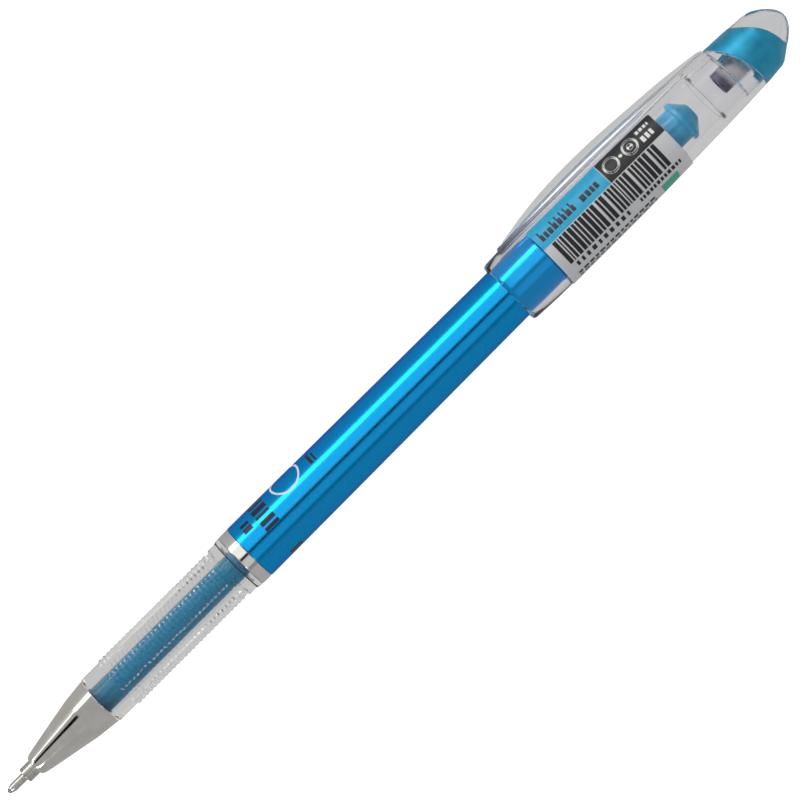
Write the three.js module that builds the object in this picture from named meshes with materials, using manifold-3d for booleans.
// A slim gel pen with its clear cap posted on the rear end, as an assembly of separate pieces.
// Units are millimetres and +Z is up. The pen lies on a table along X with its point at +X,
// rolled so that it rests on the cap and on the cap's clip, as a dropped pen does.
//
// Every turned piece is drawn as an outline of [station, radius] points. A station is the
// distance back from the front of the ball, so the point is at station 0 and the crown at LENGTH.

import * as THREE from 'three';
import { mergeVertices } from 'three/addons/utils/BufferGeometryUtils.js';
import Module from 'manifold-3d';

const wasm = await Module();
wasm.setup();

// ---------------------------------------------------------------- driving dimensions
const LENGTH = 152;              // ball to crown, cap posted
const SIDES = 24;                // flats round every turned piece
const FIT = 0.05;                // radial or end gap between pieces that are pressed or slid together

const BALL_RADIUS = 0.4;
const NEEDLE_RADIUS = 0.63;      // the thin front of the writing tip
const SHANK_RADIUS = 1.17;       // the tip's shank, which the nose cone centres

const CONE_FRONT = 5.15;
const CONE_REAR = 18.0;
const CONE_MOUTH_RADIUS = 1.25;
const CONE_REAR_RADIUS = 3.78;

const HOLDER_REAR = 17.9;        // the tip holder's spigot ends just inside the nose cone

const TUBE_RADIUS = 2.08;        // ink tube
const TUBE_BORE = 1.5;
const TUBE_FRONT = 16.0;
const TUBE_REAR = 118;
const INK_REAR = 100;            // ink still left in the tube
const FOLLOWER_LENGTH = 5;

const GRIP_NECK = 21.4;          // plain neck behind the cone, up to the first rib
const GRIP_BORE = 2.3;
const SPIGOT_RADIUS = 3.0;       // front spigot, inside the cone
const RIB_PITCH = 0.75;
const RIB_COUNT = 28;
const RIB_CREST = 4.11;
const RIB_ROOT = 3.93;
const COLLAR_RADIUS = 4.2;
const GRIP_REAR = 44.5;
const THREAD_RADIUS = 3.3;       // rear spigot, inside the front joint

const LIP_FRONT = 44.65;         // the clear flange between the grip and the silver ring
const LIP_RADIUS = 4.38;
const RING_FRONT = 45.45;
const RING_RADIUS = 4.43;
const JOINT_RADIUS = 3.8;
const JOINT_REAR = 54;

const BARREL_FRONT = 47.15;
const BARREL_REAR = 128.2;
const BARREL_FRONT_RADIUS = 4.45;
const BARREL_REAR_RADIUS = 4.05;
const BARREL_BORE = 3.3;

const CAP_MOUTH = 97.74;
const CAP_RADIUS = 5.3;
const CAP_BORE = 4.35;
const CAP_LEDGE = 128.65;        // the step in the cap that stops against the tail plug
const NIB_CHAMBER_RADIUS = 3.5;
const INNER_CAP_FRONT = 135.7;
const INNER_CAP_REAR = 144.2;
const INNER_CAP_RADIUS = 4.0;
const INNER_CAP_BORE = 3.42;
const SEAL_RADIUS = 1.7;
const SEAL_BORE = 1.25;

const BAND_WALL = 0.6;
const CROWN_WALL = 1.6;
const CROWN_LEAN = 0.5;          // the crown's nose leans this far towards the clip
// The band's two edges, as station = side + slant * height + bow * height^2, with height
// measured from the pen's axis towards the clip.
const BAND_FRONT_EDGE = { side: 142.8, slant: -0.33, bow: -0.034 };
const BAND_REAR_EDGE = { side: 148.35, slant: -0.46, bow: -0.078 };

const CLIP_FRONT = 100.8;
const CLIP_REAR = 140.2;
const CLIP_REACH = 6.85;         // from the pen's axis to the clip's highest point
const CLIP_WIDTH = 4.0;

const LABEL_FRONT = 105.1;
const LABEL_REAR = 128.5;
const LABEL_THICKNESS = 0.1;
const LABEL_START_DEG = 45.4;    // measured round the cap from the clip, over the top
const LABEL_SPAN_DEG = 158;

// The pen stands on one flat of the cap, and is rolled until the clip's edge touches too.
const AXIS_HEIGHT = CAP_RADIUS * Math.cos(Math.PI / SIDES);
const CLIP_CORNER = Math.hypot(CLIP_REACH, CLIP_WIDTH / 2);
const CLIP_FROM_DOWN = Math.acos((AXIS_HEIGHT - 0.02) / CLIP_CORNER)
  + Math.atan2(CLIP_WIDTH / 2, CLIP_REACH);
const CLIP_TURN = -(Math.PI / 2 + CLIP_FROM_DOWN);   // turns +Y to the clip's direction, about X

// ---------------------------------------------------------------- materials
function finish(color, roughness, metalness = 0, opacity = 1) {
  return new THREE.MeshStandardMaterial({
    color, roughness, metalness, opacity, transparent: opacity < 1,
  });
}

const CLEAR = 0.35;

// ---------------------------------------------------------------- shape helpers
function signedArea(points) {
  return points.reduce((sum, [s, r], i) => {
    const [nextS, nextR] = points[(i + 1) % points.length];
    return sum + s * nextR - nextS * r;
  }, 0) / 2;
}

// A solid of revolution about X from an outline of [station, radius] points. An outline that
// leaves the axis is closed on itself.
function turned(outline, sides = SIDES) {
  const onAxis = outline[0][1] === 0;
  const ring = signedArea(outline) > 0 ? outline : [...outline].reverse();
  const closed = onAxis ? ring : [...ring, ring[0]];
  const points = closed.map(([station, radius]) => new THREE.Vector2(radius, -station));
  const geometry = new THREE.LatheGeometry(points, sides, Math.PI / sides);
  return geometry.rotateZ(-Math.PI / 2);
}

// A prism whose outline is drawn in [station, height] and which runs across the pen. Height
// points at the clip.
function acrossPen(shape, width) {
  const geometry = new THREE.ExtrudeGeometry(shape, {
    depth: width, bevelEnabled: false, curveSegments: 12,
  });
  return geometry.translate(0, 0, -width / 2).rotateX(CLIP_TURN);
}

function toSolid(geometry) {
  const bare = geometry.clone();
  bare.deleteAttribute('normal');
  bare.deleteAttribute('uv');
  const merged = mergeVertices(bare, 1e-4);
  const index = [];
  for (let i = 0; i < merged.index.count; i += 3) {
    const [a, b, c] = [0, 1, 2].map((k) => merged.index.getX(i + k));
    if (a !== b && b !== c && c !== a) index.push(a, b, c);
  }
  return new wasm.Manifold(new wasm.Mesh({
    numProp: 3,
    vertProperties: new Float32Array(merged.attributes.position.array),
    triVerts: new Uint32Array(index),
  }));
}

function toGeometry(solid) {
  const mesh = solid.getMesh();
  const geometry = new THREE.BufferGeometry();
  geometry.setAttribute('position', new THREE.BufferAttribute(mesh.vertProperties, 3));
  geometry.setIndex(new THREE.BufferAttribute(mesh.triVerts, 1));
  geometry.computeVertexNormals();
  return geometry;
}

const pen = new THREE.Group();
pen.position.set(LENGTH / 2, 0, AXIS_HEIGHT);

function addPiece(name, geometry, material) {
  const piece = new THREE.Mesh(geometry, material);
  piece.name = name;
  pen.add(piece);
}

// ---------------------------------------------------------------- writing end
function addBall() {
  const sphere = new THREE.SphereGeometry(BALL_RADIUS, 12, 8);
  sphere.translate(-BALL_RADIUS, 0, 0);
  addPiece('ball', sphere, finish(0x9a9a9a, 0.2, 1));
}

function addWritingTip() {
  const socket = BALL_RADIUS + 0.03;
  const channel = 0.2;
  const shankBore = 0.75;
  const rear = 11.9;
  addPiece('writing_tip', turned([
    [0.5, socket], [0.5, 0.47], [0.95, NEEDLE_RADIUS], [3.15, NEEDLE_RADIUS],
    [3.3, SHANK_RADIUS], [rear, SHANK_RADIUS], [rear, shankBore], [4.0, shankBore],
    [3.4, 0.32], [1.6, channel], [0.84, channel], [0.84, socket],
  ]), finish(0x8e8e8a, 0.3, 1));
}

function addTipHolder() {
  const channel = 0.7;
  const spigot = TUBE_BORE - FIT;
  addPiece('tip_holder', turned([
    [8.55, SHANK_RADIUS + FIT], [8.55, 1.65], [13.2, 2.42], [14.5, 2.42], [14.5, TUBE_RADIUS],
    [TUBE_FRONT - FIT, TUBE_RADIUS], [TUBE_FRONT - FIT, spigot], [HOLDER_REAR, spigot],
    [HOLDER_REAR, channel], [12, channel], [12, SHANK_RADIUS + FIT],
  ]), finish(0xd8dcde, 0.35));
}

function addNoseCone() {
  const shoulder = 14.6;
  addPiece('nose_cone', turned([
    [CONE_FRONT, CONE_MOUTH_RADIUS], [CONE_FRONT, 1.45], [5.6, 1.7], [6.6, 1.93],
    [14.4, 3.4], [CONE_REAR, CONE_REAR_RADIUS], [CONE_REAR, SPIGOT_RADIUS + FIT],
    [shoulder, SPIGOT_RADIUS + FIT], [shoulder, 2.6], [13.55, 2.6], [8.4, 1.7],
    [8.4, CONE_MOUTH_RADIUS],
  ]), finish(0xb4b0a8, 0.22, 1));
}

// ---------------------------------------------------------------- refill
function addRefill() {
  addPiece('ink_tube', turned([
    [TUBE_FRONT, TUBE_BORE], [TUBE_FRONT, TUBE_RADIUS],
    [TUBE_REAR, TUBE_RADIUS], [TUBE_REAR, TUBE_BORE],
  ]), finish(0xdfe8ec, 0.25, 0, CLEAR));

  const inkRadius = TUBE_BORE - FIT;
  const channel = 0.65;
  const inkFront = HOLDER_REAR + FIT;
  addPiece('gel_ink', turned([
    [12.05, 0], [12.05, channel], [inkFront, channel], [inkFront, inkRadius],
    [INK_REAR, inkRadius], [INK_REAR, 0],
  ]), finish(0x2a7fa8, 0.35));

  const followerFront = INK_REAR + FIT;
  addPiece('ink_follower', turned([
    [followerFront, 0], [followerFront, inkRadius], [followerFront + FOLLOWER_LENGTH, inkRadius],
    [followerFront + FOLLOWER_LENGTH, 0],
  ]), finish(0xd9d2b8, 0.3, 0, 0.7));
}

// ---------------------------------------------------------------- grip and front joint
function gripRibs() {
  const points = [];
  for (let i = 0; i < RIB_COUNT; i += 1) {
    const start = GRIP_NECK + FIT + i * RIB_PITCH;
    points.push([start, RIB_ROOT], [start + RIB_PITCH / 2, RIB_CREST]);
  }
  return points;
}

function addGrip() {
  const front = 14.7;
  const rear = 52;
  const neckFront = CONE_REAR + FIT;
  const neckRadius = 3.9;
  const ribsEnd = GRIP_NECK + FIT + RIB_COUNT * RIB_PITCH;
  addPiece('grip_section', turned([
    [front, GRIP_BORE], [front, SPIGOT_RADIUS], [neckFront, SPIGOT_RADIUS],
    [neckFront, neckRadius], [GRIP_NECK, neckRadius], ...gripRibs(), [ribsEnd, neckRadius],
    [ribsEnd + 0.45, neckRadius], [ribsEnd + 0.55, COLLAR_RADIUS], [GRIP_REAR, COLLAR_RADIUS],
    [GRIP_REAR, THREAD_RADIUS], [rear, THREAD_RADIUS], [rear, GRIP_BORE],
  ]), finish(0xe6e8ea, 0.15, 0, CLEAR));
}

function addFrontJoint() {
  const bore = THREAD_RADIUS + FIT;
  const lipRear = RING_FRONT - FIT;
  addPiece('front_joint', turned([
    [LIP_FRONT, bore], [LIP_FRONT, LIP_RADIUS], [lipRear, LIP_RADIUS], [lipRear, JOINT_RADIUS],
    [JOINT_REAR, JOINT_RADIUS], [JOINT_REAR, bore],
  ]), finish(0xdedede, 0.2, 0, 0.5));

  const ringRear = BARREL_FRONT - FIT;
  addPiece('barrel_ring', turned([
    [RING_FRONT, JOINT_RADIUS + FIT], [RING_FRONT, RING_RADIUS], [ringRear, RING_RADIUS],
    [ringRear, JOINT_RADIUS + FIT],
  ]), finish(0xe4e2de, 0.12, 1));
}

// ---------------------------------------------------------------- barrel
function addBarrel() {
  const counterbore = JOINT_RADIUS + FIT;
  addPiece('barrel', turned([
    [BARREL_FRONT, counterbore], [BARREL_FRONT, BARREL_FRONT_RADIUS], [CAP_MOUTH, 4.15],
    [BARREL_REAR, BARREL_REAR_RADIUS], [BARREL_REAR, BARREL_BORE], [56, BARREL_BORE],
    [JOINT_REAR + 0.1, counterbore],
  ]), finish(0x0a8cc8, 0.25, 0.8));
}

function addTailPlug() {
  const spigot = BARREL_BORE - FIT;
  const shoulderFront = BARREL_REAR + FIT;
  const shoulderRear = CAP_LEDGE - 0.1;
  const stem = 2.67;
  const flange = 3.18;
  addPiece('tail_plug', turned([
    [130.2, 0], [130.2, 2.4], [121, 2.4], [121, spigot], [shoulderFront, spigot],
    [shoulderFront, 3.9], [shoulderRear, 3.9], [shoulderRear, stem], [131, stem],
    [131, flange], [131.7, flange], [133.5, 1.2], [133.5, 0],
  ]), finish(0x3aa8d8, 0.25));
}

// ---------------------------------------------------------------- crown end of the cap
// The crown's outside, from the cap's shoulder to the nose, less an inset from its radius.
function crownOutline(from, inset = 0, upTo = LENGTH) {
  const shoulder = [[139, 4.87], [142, 4.74], [INNER_CAP_REAR + 0.1, 4.64], [147.2, 4.38]];
  const nose = new THREE.CubicBezierCurve(
    new THREE.Vector2(147.2, 4.38), new THREE.Vector2(149.2, 3.7),
    new THREE.Vector2(LENGTH, 1.9), new THREE.Vector2(LENGTH, 0),
  );
  const nosePoints = nose.getPoints(10).slice(1).map((p) => [p.x, p.y]);
  return [...shoulder, ...nosePoints]
    .filter(([station]) => station >= from && station <= upTo)
    .map(([station, radius]) => [station, radius - inset])
    .filter(([, radius]) => radius >= 0);
}

// Shifts the crown's nose towards the clip, more the nearer it is to the end.
function leaned(geometry) {
  const position = geometry.attributes.position;
  for (let i = 0; i < position.count; i += 1) {
    const shift = CROWN_LEAN * THREE.MathUtils.smoothstep(-position.getX(i), 146.6, 149.4);
    position.setY(i, position.getY(i) - shift * Math.sin(CLIP_FROM_DOWN));
    position.setZ(i, position.getZ(i) - shift * Math.cos(CLIP_FROM_DOWN));
  }
  return geometry;
}

// The space between two slanted edges, each moved back by a distance.
function betweenEdges(front, frontShift, rear, rearShift) {
  const reach = 7;
  const ends = (edge, shift) => [-reach, 0, reach].map((height) => new THREE.Vector2(
    -(edge.side + shift + edge.slant * height
      + edge.bow * (height === 0 ? -(reach ** 2) : reach ** 2)), height,
  ));
  const [frontLow, frontMiddle, frontHigh] = ends(front, frontShift);
  const [rearLow, rearMiddle, rearHigh] = ends(rear, rearShift);
  const shape = new THREE.Shape();
  shape.moveTo(frontLow.x, frontLow.y);
  shape.quadraticCurveTo(frontMiddle.x, frontMiddle.y, frontHigh.x, frontHigh.y);
  shape.lineTo(rearHigh.x, rearHigh.y);
  shape.quadraticCurveTo(rearMiddle.x, rearMiddle.y, rearLow.x, rearLow.y);
  shape.closePath();
  return toSolid(acrossPen(shape, 2 * reach));
}

function addCapShell() {
  const innerCapSeat = INNER_CAP_RADIUS + FIT;
  const seatFront = INNER_CAP_FRONT - FIT;
  const rear = 144.1;
  const shell = toSolid(turned([
    [CAP_MOUTH, 4.55], [CAP_MOUTH, 4.75], [97.86, 4.97], [98.2, 5.1], [100, 5.18],
    [104.5, CAP_RADIUS], [119, CAP_RADIUS], [124, 5.22], [133, 5.02], [139, 4.87], [142, 4.74],
    [rear, 4.65], [rear, innerCapSeat], [seatFront, innerCapSeat],
    [seatFront, NIB_CHAMBER_RADIUS], [CAP_LEDGE, NIB_CHAMBER_RADIUS], [CAP_LEDGE, CAP_BORE],
    [98.4, CAP_BORE],
  ]));
  const behindEdge = betweenEdges(BAND_FRONT_EDGE, -0.1, BAND_FRONT_EDGE, 20);
  addPiece('cap_shell', toGeometry(shell.subtract(behindEdge)), finish(0xe4e6e8, 0.12, 0, CLEAR));
}

function addInnerCap() {
  const socket = SEAL_RADIUS + FIT;
  addPiece('inner_cap', turned([
    [143.3, 0], [143.3, socket], [140.6, socket], [140.6, INNER_CAP_BORE],
    [136.2, INNER_CAP_BORE], [INNER_CAP_FRONT, 3.6], [INNER_CAP_FRONT, INNER_CAP_RADIUS],
    [INNER_CAP_REAR, INNER_CAP_RADIUS], [INNER_CAP_REAR, 0],
  ]), finish(0xdfe2e4, 0.15, 0, CLEAR));

  addPiece('nib_seal', turned([
    [142.4, 0], [142.4, SEAL_BORE], [138.5, SEAL_BORE], [138.5, SEAL_RADIUS],
    [143.2, SEAL_RADIUS], [143.2, 0],
  ]), finish(0x8a8894, 0.6));
}

function addBand() {
  const outside = crownOutline(139, 0, 150);
  const bore = crownOutline(139, BAND_WALL, 150)
    .map(([station, radius]) => [station, Math.min(radius, INNER_CAP_RADIUS + FIT)]);
  const ring = toSolid(leaned(turned([...outside, ...bore.reverse()])));
  const strip = betweenEdges(BAND_FRONT_EDGE, 0, BAND_REAR_EDGE, 0);
  addPiece('cap_band', toGeometry(ring.intersect(strip)), finish(0x1a94b8, 0.3, 0.3));
}

function addCrown() {
  const outside = crownOutline(143);
  const cavity = crownOutline(143, CROWN_WALL);
  const cavityEnd = cavity[cavity.length - 1][0] + 0.25;
  const body = toSolid(leaned(turned([[cavityEnd, 0], ...cavity.reverse(), ...outside])));

  const seatDepth = BAND_WALL + FIT;
  const seat = crownOutline(143, seatDepth, 150);
  const proud = crownOutline(143, -1, 150);
  const ring = toSolid(leaned(turned([...seat, ...proud.reverse()])));
  const underBand = betweenEdges(BAND_FRONT_EDGE, -10, BAND_REAR_EDGE, 0.1);
  addPiece('cap_crown', toGeometry(body.subtract(ring.intersect(underBand))),
    finish(0xe6e8ea, 0.1, 0, CLEAR));
}

// ---------------------------------------------------------------- clip
function clipSideView() {
  const top = new THREE.SplineCurve([
    [CLIP_FRONT, 5.42], [102.6, 5.6], [105.7, 6.12], [108.7, 6.5], [111.8, 6.74],
    [115.5, CLIP_REACH], [121, 6.75], [127.3, 6.35], [133, 5.92], [137, 5.45], [CLIP_REAR, 5.0],
  ].map(([station, height]) => new THREE.Vector2(-station, height)));
  const underside = new THREE.SplineCurve([
    [CLIP_REAR, 4.89], [134, 5.14], [129, 5.4], [122, 5.7], [115.5, 5.8], [108, 5.62],
    [104, 5.38], [CLIP_FRONT, 5.25],
  ].map(([station, height]) => new THREE.Vector2(-station, height)));
  return new THREE.Shape([...top.getPoints(24), ...underside.getPoints(24)]);
}

// The clip from above: parallel sides and a round free end.
function clipPlan() {
  const half = CLIP_WIDTH / 2;
  const plan = new THREE.Shape();
  plan.moveTo(-CLIP_REAR - 1, -half);
  plan.lineTo(-CLIP_FRONT - half, -half);
  plan.absarc(-CLIP_FRONT - half, 0, half, -Math.PI / 2, Math.PI / 2, false);
  plan.lineTo(-CLIP_REAR - 1, half);
  plan.closePath();
  const height = 20;
  const geometry = new THREE.ExtrudeGeometry(plan, {
    depth: height, bevelEnabled: false, curveSegments: 12,
  });
  return toSolid(geometry.rotateX(-Math.PI / 2).rotateX(CLIP_TURN));
}

function addClip() {
  const bow = toSolid(acrossPen(clipSideView(), CLIP_WIDTH + 2));
  addPiece('cap_clip', toGeometry(bow.intersect(clipPlan())), finish(0xe4e6e8, 0.12, 0, CLEAR));
}

// ---------------------------------------------------------------- label
// A wedge round the pen's axis, measured from the clip over the top of the pen.
function wedge(startDeg, spanDeg, radius) {
  const clipAngle = Math.PI / 2 + CLIP_FROM_DOWN;
  const steps = 12;
  const fan = [new THREE.Vector2(0, 0)];
  for (let i = 0; i <= steps; i += 1) {
    const turn = THREE.MathUtils.degToRad(startDeg + (spanDeg * i) / steps);
    const angle = -clipAngle - turn;
    fan.push(new THREE.Vector2(radius * Math.cos(angle), radius * Math.sin(angle)));
  }
  const geometry = new THREE.ExtrudeGeometry(new THREE.Shape(fan), {
    depth: LENGTH, bevelEnabled: false,
  });
  // The fan is drawn as (Y, Z), so X, Y and Z swap round to lay it across the pen.
  geometry.applyMatrix4(new THREE.Matrix4().set(
    0, 0, 1, -LENGTH,
    1, 0, 0, 0,
    0, 1, 0, 0,
    0, 0, 0, 1,
  ));
  return geometry;
}

function addLabel() {
  const capSide = [[LABEL_FRONT, CAP_RADIUS], [119, CAP_RADIUS], [124, 5.22], [LABEL_REAR, 5.12]];
  const inside = capSide.map(([station, radius]) => [station, radius + FIT]);
  const outside = inside.map(([station, radius]) => [station, radius + LABEL_THICKNESS]);
  const film = toSolid(turned([...outside, ...inside.reverse()]));
  const patch = toSolid(wedge(LABEL_START_DEG, LABEL_SPAN_DEG, 8));
  addPiece('cap_label', toGeometry(film.intersect(patch)), finish(0xb8bcc8, 0.4));
}

// ---------------------------------------------------------------- assembly
addBall();
addWritingTip();
addTipHolder();
addNoseCone();
addRefill();
addGrip();
addFrontJoint();
addBarrel();
addTailPlug();
addCapShell();
addInnerCap();
addBand();
addCrown();
addClip();
addLabel();

// The clip stands out to one side, so the pen moves over until its box is centred on Y = 0.
const box = new THREE.Box3().setFromObject(pen);
pen.position.y = -(box.min.y + box.max.y) / 2;

export default pen;
